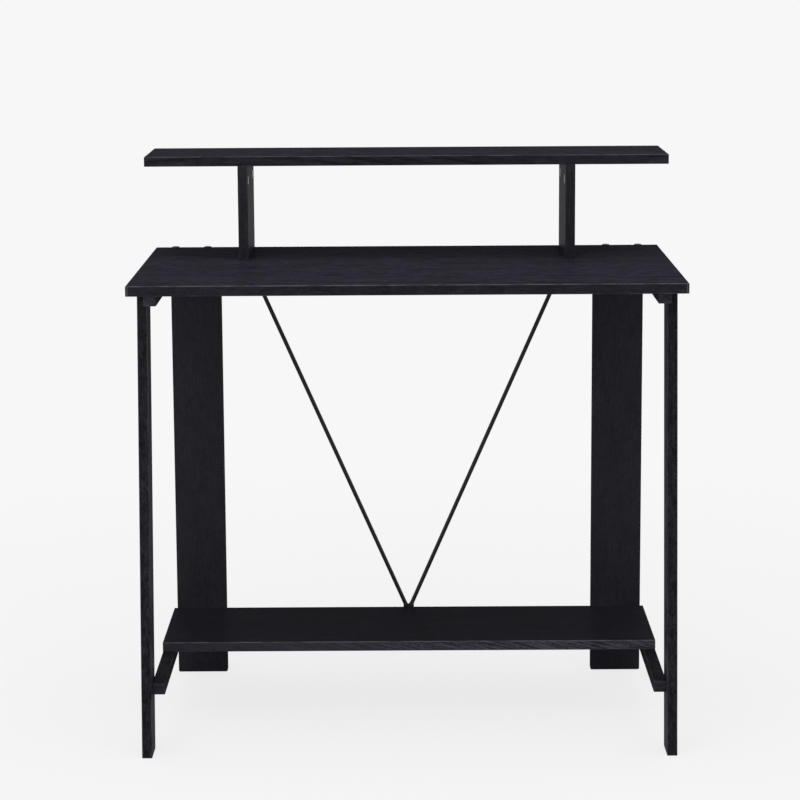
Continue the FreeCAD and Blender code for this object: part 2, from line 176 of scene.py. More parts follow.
class Finish:
    """One material under construction: each call adds a node and returns its output socket."""

    def __init__(self, name):
        self.material = bpy.data.materials.new(name)
        self.material.use_nodes = True
        self.tree = self.material.node_tree
        self.tree.nodes.clear()
        self.surface = self.node("ShaderNodeBsdfPrincipled")
        self.output = self.node("ShaderNodeOutputMaterial")
        self.tree.links.new(self.surface.outputs[0], self.output.inputs[0])

    def node(self, kind, **settings):
        """A new shader node with its settings."""
        node = self.tree.nodes.new(kind)
        for name, value in settings.items():
            setattr(node, name, value)
        return node

    def feed(self, socket, value):
        """Links a socket to another's output, or gives it a plain value."""
        if isinstance(value, bpy.types.NodeSocket):
            self.tree.links.new(value, socket)
        elif value is not None:
            socket.default_value = value

    def set(self, **values):
        """Feeds inputs of the Principled shader, named with _ for each blank."""
        for name, value in values.items():
            self.feed(self.surface.inputs[name.replace("_", " ")], value)

    def coords(self, kind="Object"):
        return self.node("ShaderNodeTexCoord").outputs[kind]

    def math(self, kind, first, second=None, third=None):
        node = self.node("ShaderNodeMath", operation=kind)
        for socket, value in zip(node.inputs, (first, second, third)):
            self.feed(socket, value)
        return node.outputs[0]

    def times(self, *factors):
        product = factors[0]
        for factor in factors[1:]:
            product = self.math("MULTIPLY", product, factor)
        return product

    def dimmed(self, colour, factor):
        """A colour times a factor, which may also brighten it."""
        node = self.node("ShaderNodeVectorMath", operation="SCALE")
        self.feed(node.inputs[0], colour)
        self.feed(node.inputs["Scale"], factor)
        return node.outputs[0]

    def split(self, vector):
        node = self.node("ShaderNodeSeparateXYZ")
        self.feed(node.inputs[0], vector)
        return list(node.outputs)

    def join(self, x, y, z):
        node = self.node("ShaderNodeCombineXYZ")
        for socket, value in zip(node.inputs, (x, y, z)):
            self.feed(socket, value)
        return node.outputs[0]

    def noise(self, vector, scale, shift=(0, 0, 0), detail=3.0, rough=0.55, twist=0.0):
        """Cloudy noise from 0 to 1, with scale features to the metre along each coordinate."""
        place = self.node("ShaderNodeMapping")
        self.feed(place.inputs["Vector"], vector)
        place.inputs["Scale"].default_value = scale
        place.inputs["Location"].default_value = shift
        node = self.node("ShaderNodeTexNoise")
        self.feed(node.inputs["Vector"], place.outputs[0])
        node.inputs["Scale"].default_value = 1.0
        node.inputs["Detail"].default_value = detail
        node.inputs["Roughness"].default_value = rough
        node.inputs["Distortion"].default_value = twist
        return node.outputs["Fac"]

    def spread(self, value, low, high, to_low=0.0, to_high=1.0):
        """A smooth step from one value at low to another at high."""
        node = self.node("ShaderNodeMapRange", interpolation_type="SMOOTHSTEP")
        self.feed(node.inputs["Value"], value)
        ranges = {"From Min": low, "From Max": high, "To Min": to_low, "To Max": to_high}
        for name, number in ranges.items():
            node.inputs[name].default_value = number
        return node.outputs[0]

    def blend(self, share, first, second, mode="MIX"):
        """A mix of two colours, by a share from 0 to 1."""
        node = self.node("ShaderNodeMix", data_type="RGBA", blend_type=mode)
        self.feed(node.inputs["Factor"], share)
        for socket, value in zip((node.inputs[6], node.inputs[7]), (first, second)):
            self.feed(socket, (*value, 1.0) if isinstance(value, tuple) else value)
        return node.outputs[2]

    def choose(self, share, first, second):
        """The first vector where the share is 0, and the second where it is 1."""
        node = self.node("ShaderNodeMix", data_type="VECTOR")
        self.feed(node.inputs["Factor"], share)
        self.feed(node.inputs[4], first)
        self.feed(node.inputs[5], second)
        return node.outputs[1]

    def bump(self, height, strength, distance):
        """A fine relief on the surface, distance metres high at most."""
        node = self.node("ShaderNodeBump")
        self.feed(node.inputs["Height"], height)
        node.inputs["Strength"].default_value = strength
        node.inputs["Distance"].default_value = distance
        self.tree.links.new(node.outputs[0], self.surface.inputs["Normal"])


def shaded(colour, share):
    """A plain colour times a share."""
    return tuple(share * part for part in colour)


# Black wood grain

# A face counts as looking along an axis where its normal's share along that axis is above this.
squarely = 0.75


def facing(s, axis):
    """How squarely a face looks along one of the object's axes, either way."""
    return s.math("ABSOLUTE", s.split(s.coords("Normal"))["XYZ".index(axis)])


def grain_axes(s, grain, cut_face):
    """The board's coordinates as (along the grain, across it, through the board). On the faces that
    cut across the grain, the first two change places, as the strip glued there runs along its face."""
    x, y, z = s.split(s.coords())
    along, across, through = {"X": (x, y, z), "Y": (y, x, z), "Z": (z, x, y)}[grain]
    return s.choose(cut_face, s.join(along, across, through), s.join(across, along, through))


def growth_rings(s, axes, shift):
    """Arched growth rings: narrow dark lines where the cosine of the distance across the board comes
    near 1, after a slow noise that is long in the grain's direction has pushed that distance to and
    fro. A finer noise makes the lines waver a little, and another makes them fade in places."""
    ring_wide = 0.016
    wander_reach = 0.42
    waver_reach = 0.005
    slant_through = 0.6
    line_narrowness = 2.2
    wander = s.noise(axes, (0.75, 3.3, 3.3), shift, 1.0, 0.4)
    waver = s.noise(axes, (7, 40, 40), shift, 2.0, 0.5)
    fade = s.spread(s.noise(axes, (3, 14, 14), shift, 3.0, 0.6), 0.40, 0.62, 0.1, 1.0)
    across, through = s.split(axes)[1:]
    place = s.math("MULTIPLY_ADD", through, slant_through, across)
    place = s.math("MULTIPLY_ADD", wander, wander_reach, place)
    place = s.math("MULTIPLY_ADD", waver, waver_reach, place)
    turn = s.times(place, 2 * math.pi / ring_wide)
    wave = s.math("MULTIPLY_ADD", s.math("COSINE", turn), 0.5, 0.5)
    return s.math("SUBTRACT", 1.0, s.times(s.math("POWER", wave, line_narrowness), fade))


def edge_nearness(s, low, high, reach, lean=0.0):
    """1 on a board's edges and 0 farther from them than reach: the middle one of a point's three
    distances to the nearest faces. lean shears a leaning leg upright first."""
    x, y, z = s.split(s.coords())
    if lean:
        y = s.math("MULTIPLY_ADD", z, -lean, y)
    gaps = []
    for value, start, end in zip((x, y, z), low, high):
        off_middle = s.math("ABSOLUTE", s.math("SUBTRACT", value, (start + end) / 2))
        gaps.append(s.math("SUBTRACT", (end - start) / 2, off_middle))
    small = s.math("MINIMUM", gaps[0], gaps[1])
    large = s.math("MAXIMUM", gaps[0], gaps[1])
    middle = s.math("MAXIMUM", small, s.math("MINIMUM", large, gaps[2]))
    return s.spread(middle, 0.0, reach, 1.0, 0.0)


def front_highlights(s, low, high, shift, highlight_line, corner_highlight):
    """A painted highlight along the upper corner of the front edge, weaker in some stretches, and
    another on the two upright lines where the strips glued on the board's ends meet the one on its
    front."""
    x, y, z = s.split(s.coords())
    outer, inner = 0.0015, 0.004
    pale_edge_wide = 0.002
    corner_line_outer, corner_line_inner = (0.0020, 0.0028), (0.0032, 0.0042)
    front = s.spread(y, low[1] + outer, low[1] + inner, 1.0, 0.0)
    upper = s.spread(z, high[2] - inner, high[2] - outer)
    stretch = s.spread(s.noise(s.coords(), (35, 35, 35), shift, 3.0), 0.40, 0.58, 0.4, 1.0)
    upper = s.times(upper, stretch, edge_nearness(s, low, high, pale_edge_wide), highlight_line)
    from_end = s.math("SUBTRACT", high[0], s.math("ABSOLUTE", x))
    corner_highlights = s.spread(from_end, *corner_line_outer, 0.0, corner_highlight)
    corner_highlights = s.times(corner_highlights, s.spread(from_end, *corner_line_inner, 1.0, 0.0))
    return s.times(front, s.math("MAXIMUM", upper, corner_highlights) if corner_highlight else upper)


def speckled_edge(s, colour, axes, shift, shade, depth):
    """The strip glued round a board's narrow sides: the same print, shaded, with a fine speckle that
    is stronger in some stretches."""
    fine = s.noise(axes, (420, 420, 420), shift, 3.0, 0.7)
    coarse = s.noise(axes, (70, 160, 160), shift, 4.0, 0.65)
    speck = s.math("MULTIPLY_ADD", coarse, 0.6, s.times(fine, 0.6))
    colour = s.blend(1.0, colour, edge_tint, "MULTIPLY")
    return s.dimmed(colour, s.spread(speck, 0.42, 0.78, shade * (1 - depth), shade * (1 + depth)))


def blue_cast(s, colour, face, axes, shift, blue, streaky):
    """A little light and shade in mottled patches, and on the board's wide faces small specks and a
    bluish cast."""
    speck_depth, mottle_depth = 0.17 * streaky, 0.11 * streaky
    mottle = s.spread(s.noise(axes, (26, 34, 34), shift, 6.0, 0.8), 0.38, 0.62)
    specks = s.noise(axes, (90, 135, 135), shift, 3.0, 0.7)
    specks = s.spread(specks, 0.40, 0.60, -speck_depth, speck_depth)
    colour = s.dimmed(colour, s.math("MULTIPLY_ADD", specks, face, 1.0))
    colour = s.dimmed(colour, s.spread(mottle, 0.0, 1.0, 1.0 - mottle_depth, 1.0 + mottle_depth))
    patch = s.math("MULTIPLY_ADD", mottle, 0.75, 0.25)
    return s.blend(s.times(face, patch), colour, (1.0, 0.98, blue), "MULTIPLY")


def painted_light_band(s, colour, axes, shift, half_long):
    """Painted light on the strip along the front edge: a paler print that stands for light caught on
    that face, darker and calmer towards its left end and stronger towards its right. Its streaks slant
    down to the right, and fine flecks cross them."""
    drop_per_metre = 0.25
    on_front = s.math("LESS_THAN", s.split(s.coords("Normal"))[1], -squarely)
    along, across, through = s.split(axes)
    slanted = s.join(along, across, s.math("MULTIPLY_ADD", along, drop_per_metre, through))
    streaks = s.noise(slanted, (24, 260, 460), shift, 4.0, 0.6)
    flecks = s.noise(axes, (160, 420, 420), shift, 4.0, 0.7)
    figure = s.math("MULTIPLY_ADD", streaks, 0.55, s.times(flecks, 0.45))
    contrast = s.spread(along, -0.6 * half_long, 0.4 * half_long, 0.3, 0.8)
    figure = s.math("MULTIPLY_ADD", s.spread(figure, 0.43, 0.57, -0.5, 0.5), contrast, 0.5)
    # The painted light grows stronger towards the right end.
    light_rightward = s.spread(along, -half_long, half_long, 0.6, 1.2)
    return s.blend(s.times(on_front, figure, light_rightward), colour, band_painted_light)


def black_board(name, grain, low, high, seed, shade=1.0, blue=1.0, rings=0.3, streaky=1.0,
                edge_shade=0.9, speckle=0.25, end_shade=1.0, edge_wear_and_highlight=0.4, highlight_line=0.0, corner_highlight=0.0,
                lean=0.0, painted_front_light=False, sheen=0.02):
    """Black printed wood: streaks, cloudy patches, growth rings and short pores drawn out along the
    grain, a speckled strip round the narrow sides, pale edges that are partly rubbed wear and partly a
    painted highlight, an embossed surface, and a thin satin coat. Its shade, edge_shade and end_shade
    are painted light and shade, which make the board, its narrow sides and its cut ends lighter or
    darker."""
    pale_edge_wide = 0.002
    ring_share, patch_share, streak_share = 0.16 * rings, 0.22, 0.78 - 0.16 * rings
    tone_spread = 0.15 / streaky
    s = Finish(name)
    shift = (3.7 * seed, 1.9 * seed, 2.3 * seed)
    extents = [end - start for start, end in zip(low, high)]
    thin_axis = "XYZ"[extents.index(min(extents))]
    wide_face = s.math("GREATER_THAN", facing(s, thin_axis), squarely)
    cut_face = s.math("GREATER_THAN", facing(s, grain), squarely)
    axes = grain_axes(s, grain, cut_face)
    patches = s.noise(axes, (9, 24, 24), shift, 4.0, 0.6, 0.3)
    streaks = s.noise(axes, (26, 620, 620), shift, 6.0, 0.68, 0.25)
    figure = growth_rings(s, axes, shift)
    pores = s.noise(axes, (95, 1500, 1500), shift, 2.0, 0.5)
    tone = s.math("MULTIPLY_ADD", patches, patch_share, s.times(streaks, streak_share))
    tone = s.math("MULTIPLY_ADD", figure, ring_share, tone)
    tone = s.spread(tone, 0.5 - tone_spread, 0.5 + tone_spread)
    # shade gives this board a lighter or darker copy of the laminate: painted light and shade.
    colour = s.blend(tone, shaded(board_dark, shade), shaded(board_pale, shade))
    pore = s.spread(s.math("MULTIPLY_ADD", figure, -0.05, pores), 0.56, 0.66)
    colour = s.blend(s.times(pore, 0.5), colour, shaded(board_dark, 0.5 * shade))
    colour = blue_cast(s, colour, wide_face, axes, shift, blue, streaky)
    # edge_shade and end_shade make the narrow sides and the cut ends lighter or darker: painted light
    # and shade.
    edge = speckled_edge(s, colour, axes, shift, edge_shade, speckle)
    colour = s.blend(wide_face, edge, colour)
    colour = s.blend(cut_face, colour, s.dimmed(colour, end_shade))
    # Pale edges: partly rubbed wear, partly a painted highlight where the edges catch the light.
    pale_edge_patches = s.spread(s.noise(s.coords(), (16, 16, 16), shift, 4.0, 0.65), 0.42, 0.64, 0.15, 1.0)
    wear_and_highlight = s.times(edge_nearness(s, low, high, pale_edge_wide, lean), pale_edge_patches, edge_wear_and_highlight)
    # Painted light on the low shelf's front strip.
    if painted_front_light:
        colour = painted_light_band(s, colour, axes, shift, high[0])
    # A painted highlight along the front edge's upper corner and at its upright corners.
    if highlight_line:
        wear_and_highlight = s.math("MAXIMUM", wear_and_highlight, front_highlights(s, low, high, shift, highlight_line, corner_highlight))
    s.set(Base_Color=s.blend(wear_and_highlight, colour, board_worn_lit_edge), Metallic=0.0, Specular_IOR_Level=0.0)
    s.set(Roughness=s.spread(streaks, 0.3, 0.7, 0.62, 0.46), Coat_Weight=sheen, Coat_Roughness=0.34)
    s.bump(s.math("SUBTRACT", s.times(streaks, 0.5), s.times(pore, 0.6)), 0.35, 0.00025)
    return s.material


# Metals and bare wood

def powder_coat(name):
    """Black powder coat on steel: a dark film with a fine orange-peel surface, and painted light from
    above that makes the sides that look up paler."""
    s = Finish(name)
    peel = s.noise(s.coords(), (900, 900, 900), detail=2.0)
    cloud = s.noise(s.coords(), (30, 30, 30), detail=2.0)
    # Painted light from above: the sides that look up get a paler colour, those that look down stay
    # dark.
    painted_top_light = s.spread(s.split(s.coords("Normal"))[2], -0.15, 0.45)
    painted_lit_colour = s.blend(cloud, (0.024, 0.0228, 0.029), (0.038, 0.036, 0.045))
    s.set(Base_Color=s.blend(painted_top_light, (0.007, 0.0066, 0.0085), painted_lit_colour))
    s.set(Roughness=s.spread(peel, 0.3, 0.7, 0.40, 0.52), Specular_IOR_Level=0.2)
    s.bump(peel, 0.25, 0.00012)
    return s.material


def black_bolt_steel(name):
    """Black-finished steel, rubbed a little paler in patches, with fine scratches."""
    s = Finish(name)
    cloud = s.noise(s.coords(), (160, 160, 160), detail=4.0)
    scratch = s.noise(s.coords(), (1600, 240, 1600))
    s.set(Base_Color=s.blend(s.spread(cloud, 0.4, 0.7), (0.022, 0.022, 0.026), (0.05, 0.05, 0.056)))
    s.set(Roughness=s.spread(scratch, 0.3, 0.7, 0.30, 0.46), Metallic=0.6)
    s.bump(scratch, 0.15, 0.00005)
    return s.material


def plated_steel(name, tint):
    """Zinc plating: grey metal with a cloudy bloom and fine scratches."""
    s = Finish(name)
    cloud = s.noise(s.coords(), (220, 220, 220), detail=4.0)
    scratch = s.noise(s.coords(), (300, 2400, 2400))
    s.set(Base_Color=s.blend(s.spread(cloud, 0.3, 0.7), shaded(tint, 0.72), tint))
    s.set(Roughness=s.spread(scratch, 0.3, 0.7, 0.28, 0.48), Metallic=1.0)
    s.bump(s.math("ADD", cloud, scratch), 0.1, 0.00004)
    return s.material


def bare_beech(name, grain_scale):
    """Unfinished beech: warm pale wood with short darker flecks along the dowel."""
    s = Finish(name)
    flecks = s.noise(s.coords(), grain_scale, rough=0.6)
    s.set(Base_Color=s.blend(s.spread(flecks, 0.35, 0.7), (0.56, 0.40, 0.24), (0.36, 0.22, 0.12)))
    s.set(Roughness=s.spread(flecks, 0.3, 0.7, 0.6, 0.75))
    s.bump(flecks, 0.2, 0.0001)
    return s.material


# Surfaces from rings of points

def unit(vector):
    """A vector divided by its length."""
    return vector / np.linalg.norm(vector)


def close_tube(rings, ends):
    """Joins rings of points into one closed skin: a quad between neighbours on two rings, and a
    fan from each end point to its ring. rings has the shape (rows, points, 3)."""
    rows, count = rings.shape[:2]
    points = np.concatenate([rings.reshape(-1, 3), np.asarray(ends, float)])
    row, step = np.meshgrid(np.arange(rows - 1), np.arange(count), indexing="ij")
    after = (step + 1) % count
    near, far = row * count, (row + 1) * count
    corners = [near + step, near + after, far + after, far + step]
    quads = np.stack(corners, -1).reshape(-1, 4)
    step = np.arange(count)
    after = (step + 1) % count
    last_row = (rows - 1) * count
    first_fan = np.stack([np.full(count, rows * count), after, step], -1)
    last_fan = np.stack([np.full(count, rows * count + 1), last_row + step, last_row + after], -1)
    return points, quads, np.concatenate([first_fan, last_fan])


def signed_volume(points, quads, fans):
    """Six times the volume under the faces: the sum of a . (b x c) over all triangles."""
    triangles = np.concatenate([quads[:, [0, 1, 2]], quads[:, [0, 2, 3]], fans])
    a, b, c = (points[triangles[:, k]] for k in range(3))
    return np.einsum("ij,ij->i", a, np.cross(b, c)).sum()


def add_piece(name, skins, material, stands_for, sharp_degrees=35):
    """Puts closed skins into one mesh object at the origin, each with its faces turned outwards."""
    points, faces, start = [], [], 0
    for skin_points, quads, fans in skins:
        order = 1 if signed_volume(skin_points - skin_points.mean(0), quads, fans) > 0 else -1
        faces += (quads[:, ::order] + start).tolist() + (fans[:, ::order] + start).tolist()
        points.append(skin_points)
        start += len(skin_points)
    mesh = bpy.data.meshes.new(name)
    mesh.from_pydata(np.concatenate(points).tolist(), [], faces)
    mesh.update()
    mesh.shade_smooth()
    mesh.set_sharp_from_angle(angle=math.radians(sharp_degrees))
    mesh.materials.append(material)
    piece = bpy.data.objects.new(name, mesh)
    bpy.context.scene.collection.objects.link(piece)
    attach(piece, "root")
    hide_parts(stands_for)


# Turned fasteners

def recess_outline(kind, angle):
    """How far a recess reaches in each direction, as a share of its widest. A hexagon is cos 30 over
    the cosine of the angle from the nearest flat, a cross is four lobes as wide as its arms, and a
    slot is a long thin superellipse."""
    if kind == "hexagon":
        return math.cos(math.pi / 6) / np.cos((angle % (math.pi / 3)) - math.pi / 6)
    if kind == "cross":
        fold = (angle + math.pi / 4) % (math.pi / 2) - math.pi / 4
        return np.minimum(1.0, cross_arm_wide / np.maximum(np.abs(np.sin(fold)), 0.1 * cross_arm_wide))
    long, wide = np.abs(np.cos(angle)), np.abs(np.sin(angle) / slot_wide)
    return (long ** slot_squareness + wide ** slot_squareness) ** (-1 / slot_squareness)


def turned_skins(rows, kind, seats, ways, pitch=0.001, count=48):
    """Turned pieces. Each row gives (distance along the axis, radius, share of the recess outline,
    thread depth). Its ring is a circle of that radius, drawn in towards the recess outline by that
    share, less the thread: its depth times a triangle wave of distance / pitch - turn, which winds
    the thread round the shank. One copy stands on each seat with its axis along its way."""
    distance, radius, recess, thread = (np.asarray(rows, float)[:, k, None] for k in range(4))
    angle = 2 * math.pi * (np.arange(count) + 0.5) / count
    wind = np.abs(2 * ((distance / pitch - angle[None] / (2 * math.pi)) % 1.0) - 1)
    reach = radius * (1 + recess * (recess_outline(kind, angle)[None] - 1)) - thread * wind
    rings = np.stack([reach * np.cos(angle), reach * np.sin(angle), np.repeat(distance, count, 1)], -1)
    ends = np.array([[0, 0, distance[0, 0]], [0, 0, distance[-1, 0]]])
    points, quads, fans = close_tube(rings, ends)
    skins = []
    for seat, way in zip(seats, ways):
        turn = np.array(Vector(up).rotation_difference(Vector(way)).to_matrix())
        skins.append((points @ turn.T + np.array(seat), quads, fans))
    return skins


def thread_rows(start, end, radius, depth, pitch):
    """Rows a quarter of the pitch apart, so that the winding thread keeps its shape."""
    stations = np.arange(start, end, pitch / 4)
    return [(place, radius, 0, depth) for place in stations]


def bolt_rows(length):
    """A low-headed bolt from its socket floor over the domed crown, whose height is a cosine and
    whose radius is a sine of one quarter turn, to the rim, the plain neck and the threaded shank."""
    floor = bolt_socket_deep - bolt_head_high
    mouth = bolt_socket_radius + bolt_socket_flare
    flat = mouth + bolt_flat_wide
    crown_power = 0.8
    rows = [(floor, 0.5 * bolt_socket_radius, 1, 0),
            (floor, bolt_socket_radius, 1, 0),
            (bolt_flare_deep - bolt_head_high, bolt_socket_radius, 1, 0),
            (-bolt_head_high, mouth, 0.4, 0)]
    for turn in np.linspace(0, math.pi / 2, 8):
        crown = bolt_rim_high + (bolt_head_high - bolt_rim_high) * math.cos(turn) ** crown_power
        rows.append((-crown, flat + (bolt_head_radius - flat) * math.sin(turn), 0, 0))
    rows += [(-bolt_rim_round, bolt_head_radius, 0, 0), (0, bolt_head_radius - bolt_rim_round, 0, 0),
             (0, bolt_radius, 0, 0)]
    rows += thread_rows(bolt_thread_start * length, length - bolt_thread_pitch, bolt_radius,
                        bolt_thread_deep, bolt_thread_pitch)
    return rows + [(length, bolt_radius - bolt_tip_taper, 0, 0)]


def screw_rows(length, radius, head, high):
    """A flat-headed wood screw: a cross recess that narrows to its floor, the head's rounded rim, a
    threaded shank and a pointed tip. The radii are shares of the head's, and the heights of its."""
    deep = screw_cross_deep * high
    thread = 2 * screw_thread_share * radius
    shank_end = length - screw_tip_long
    cross = [(deep - high, 0.1 * head, 1, 0),
             (0.8 * deep - high, 0.24 * head, 1, 0),
             (-high, 0.54 * head, 1, 0)]
    rim = [(-high, 0.62 * head, 0, 0),
           (-high, 0.9 * head, 0, 0),
           (-0.85 * high, 0.98 * head, 0, 0),
           (-0.7 * high, head, 0, 0),
           (0, head, 0, 0),
           (0, radius, 0, 0)]
    shank = thread_rows(screw_thread_pitch, shank_end, radius, thread, screw_thread_pitch)
    tip = [(shank_end, radius - thread / 2, 0, 0), (length, 0.15 * radius, 0, 0)]
    return cross + rim + shank + tip


def barrel_rows(length):
    """A barrel nut: the slot in its face, a small chamfer, the drum and its far end."""
    slot = [(barrel_slot_deep, 0.16 * barrel_radius, 1, 0),
            (barrel_slot_deep, 0.76 * barrel_radius, 1, 0),
            (0, 0.78 * barrel_radius, 1, 0)]
    drum = [(0, barrel_radius - 2 * barrel_chamfer, 0, 0),
            (barrel_chamfer, barrel_radius, 0, 0),
            (length - barrel_chamfer, barrel_radius, 0, 0),
            (length, barrel_radius - barrel_chamfer, 0, 0)]
    return slot + drum


def cam_rows():
    """A cam lock's drum: the cross in its face, a raised flat ring, a rounded rim and the far end."""
    cross = [(cam_cross_deep, 0.16 * cam_cross_radius, 1, 0),
             (cam_cross_deep, 0.92 * cam_cross_radius, 1, 0),
             (cam_lip, cam_cross_radius, 1, 0),
             (0, 1.1 * cam_cross_radius, 0.9, 0)]
    drum = [(0, 1.16 * cam_cross_radius, 0, 0),
            (0, cam_radius - cam_rim, 0, 0),
            (cam_rim, cam_radius, 0, 0),
            (cam_high - cam_rim, cam_radius, 0, 0),
            (cam_high, cam_radius - cam_rim, 0, 0)]
    return cross + drum


# Brace rods

def smooth(share):
    """A smooth step: 3 share squared less 2 share cubed."""
    return share * share * (3 - 2 * share)


def between(start, end, share):
    """The place a share of the way from start to end."""
    return start + (end - start) * share


def low_end_stations(low, flat_way, tab_y, rod_y, bar_way):
    """From the low tab's rounded end, past its hole, to where the pressed metal is round again. Each
    station gives (middle, direction, half width, half thickness, squareness)."""
    stations = []
    for turn in np.linspace(0, math.pi / 2, 9):
        middle = low - flat_way * tab_half_wide * math.cos(turn)
        wide = tab_half_wide * math.sin(max(turn, smallest_end_turn))
        stations.append((middle, flat_way, wide, tab_half_thick, tab_squareness))
    tab_end = low + flat_way * low_tab_long
    stations.append((tab_end, flat_way, tab_half_wide, tab_half_thick, tab_squareness))
    for share in np.linspace(0, 1, 11)[1:]:
        ease = smooth(share)
        middle = low + flat_way * (low_tab_long + low_press_long * share)
        middle[1] = between(tab_y, rod_y, ease)
        way = unit(between(flat_way, bar_way, ease))
        stations.append((middle, way, between(tab_half_wide, rod_radius, ease),
                         between(tab_half_thick, rod_radius, ease),
                         between(tab_squareness, bar_squareness, math.sqrt(ease))))
    return stations


def top_end_stations(side, top, desk_under):
    """The bend from the round bar into the level top tab, as a quadratic curve whose weights are
    (1 - share) squared, 2 share (1 - share) and share squared, and the tab's rounded end beyond its
    hole."""
    hang = np.array([side * (rod_top_x + top_bend_long), rod_top_y, desk_under - tab_half_thick])
    corner = np.array([side * (rod_top_x + bend_corner_out), rod_top_y, desk_under - bend_corner_drop])
    outward = np.array([side, 0.0, 0.0])
    stations = []
    for share in np.linspace(0, 1, 13)[1:]:
        ease = smooth(share)
        middle = (1 - share) ** 2 * top + 2 * share * (1 - share) * corner + share ** 2 * hang
        way = unit(between(corner - top, hang - corner, share))
        stations.append((middle, way, between(rod_radius, tab_half_wide, ease),
                         between(rod_radius, tab_half_thick, ease),
                         between(bar_squareness, tab_squareness, ease)))
    hole = hang + outward * top_tab_long
    for turn in np.linspace(0, math.pi / 2, 9):
        middle = hole + outward * tab_half_wide * math.sin(turn)
        wide = tab_half_wide * math.cos(min(turn, math.pi / 2 - smallest_end_turn))
        stations.append((middle, outward, wide, tab_half_thick, tab_squareness))
    return stations


def brace_rod_skin(side, tab_y, rod_y, count=32):
    """A round bar with both ends pressed flat, carried along its middle line. Each ring is a
    superellipse: w |cos|^(2/n) across and h |sin|^(2/n) over, each with its sign. Its squareness n is
    2 on the bar and 7 on the tabs, and w and h pass from one to the other along a smooth step. The
    low tab stands upright and the top tab lies level, so w and h change places between them."""
    desk_under = desktop_low.z
    low = np.array([0.0, tab_y, low_shelf_mid_z])
    top = np.array([side * rod_top_x, rod_top_y, desk_under - rod_top_drop])
    flat_way = unit(np.array([top[0], 0, top[2] - low[2]]))
    bar_start = low + flat_way * (low_tab_long + low_press_long)
    bar_start[1] = rod_y
    bar_way = unit(top - bar_start)
    stations = low_end_stations(low, flat_way, tab_y, rod_y, bar_way)
    on_low_half = len(stations) + 4
    for share in np.linspace(0, 1, 5)[1:]:
        middle = between(bar_start, top, share)
        stations.append((middle, bar_way, rod_radius, rod_radius, bar_squareness))
    stations += top_end_stations(side, top, desk_under)
    angle = 2 * math.pi * (np.arange(count) + 0.5) / count
    cosine, sine = np.cos(angle), np.sin(angle)
    rings = []
    for index, (middle, way, wide, thick, power) in enumerate(stations):
        across = unit(np.cross(way, np.array([0.0, 1.0, 0.0])))
        over = unit(np.cross(across, way))
        x = np.sign(cosine) * np.abs(cosine) ** (2 / power)
        y = np.sign(sine) * np.abs(sine) ** (2 / power)
        w, h = (wide, thick) if index < on_low_half else (thick, wide)
        rings.append(middle + across * (w * x)[:, None] + over * (h * y)[:, None])
    rings = np.array(rings)
    return close_tube(rings, (rings[0].mean(0), rings[-1].mean(0)))


# Finishes on the pieces that keep their CAD shape

def dress(node, material):
    """Gives a CAD node's object a material in each of its slots."""
    for slot in nodes[node].material_slots:
        slot.material = material


def dress_boards():
    """Each board gets a grain of its own, from its own box and its own seed, and its own painted light
    and shade.
    """
    # Painted light and shade: shade, edge_shade and end_shade make the same laminate lighter where more
    # light falls, as on the rails' cut ends, and darker where less falls, as on the lower rails.
    top = dict(grain="X", shade=0.98, blue=1.28, rings=1.0)
    support = dict(grain="Z", shade=1.15, blue=1.4, edge_shade=0.85, sheen=0.14)
    back_leg = dict(grain="Z", shade=1.3, blue=1.03, streaky=0.38, edge_wear_and_highlight=0.25)
    upper_rail = dict(grain="Y", blue=1.15, end_shade=2.2)
    lower_rail = dict(grain="Y", shade=0.8, blue=1.1, end_shade=2.0, sheen=0.03)
    finishes = {
        "desktop": dict(top, edge_wear_and_highlight=0.6, highlight_line=0.8, corner_highlight=0.6, edge_shade=0.86),
        "monitor_shelf": dict(top, edge_wear_and_highlight=0.5, highlight_line=0.6, rings=0.8, edge_shade=1.08),
        "low_shelf": dict(grain="X", shade=0.95, blue=1.08, streaky=0.35, edge_wear_and_highlight=0.5, highlight_line=1.0,
                          painted_front_light=True),
        "shelf_support_left": support,
        "shelf_support_right": support,
        "back_leg_left": back_leg,
        "back_leg_right": back_leg,
        "upper_rail_left": upper_rail,
        "upper_rail_right": upper_rail,
        "lower_rail_left": lower_rail,
        "lower_rail_right": lower_rail,
    }
    for seed, (node, finish) in enumerate(finishes.items()):
        low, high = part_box(node)
        dress(node, black_board(node + "_grain", low=low, high=high, seed=seed + 1.0, **finish))
    # Painted light: the front legs' wide faces are much lighter, and their front faces darker, than the
    # laminate elsewhere.
    front_leg = dict(grain="Z", shade=1.6, blue=1.3, edge_wear_and_highlight=0.5, edge_shade=0.42, speckle=0.75,
                     lean=leg_lean, sheen=0.10)
    for seed, node in enumerate(("front_leg_left", "front_leg_right")):
        low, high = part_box(node)
        high.y = low.y + leg_width
        dress(node, black_board(node + "_grain", low=low, high=high, seed=seed + 20.0, **front_leg))


def dress_hidden_fasteners(zinc):
    """Zinc for the sleeves and cam bolts, and beech with its grain along each dowel."""
    for node in ("leg_sleeves", "cam_bolts"):
        dress(node, zinc)
    level, upright = (160, 900, 900), (900, 900, 160)
    for node, grain_scale in (("leg_dowels", level), ("desktop_dowels", upright),
                              ("monitor_shelf_dowels", upright)):
        dress(node, bare_beech(node + "_beech", grain_scale))


# Pieces that stand for CAD nodes

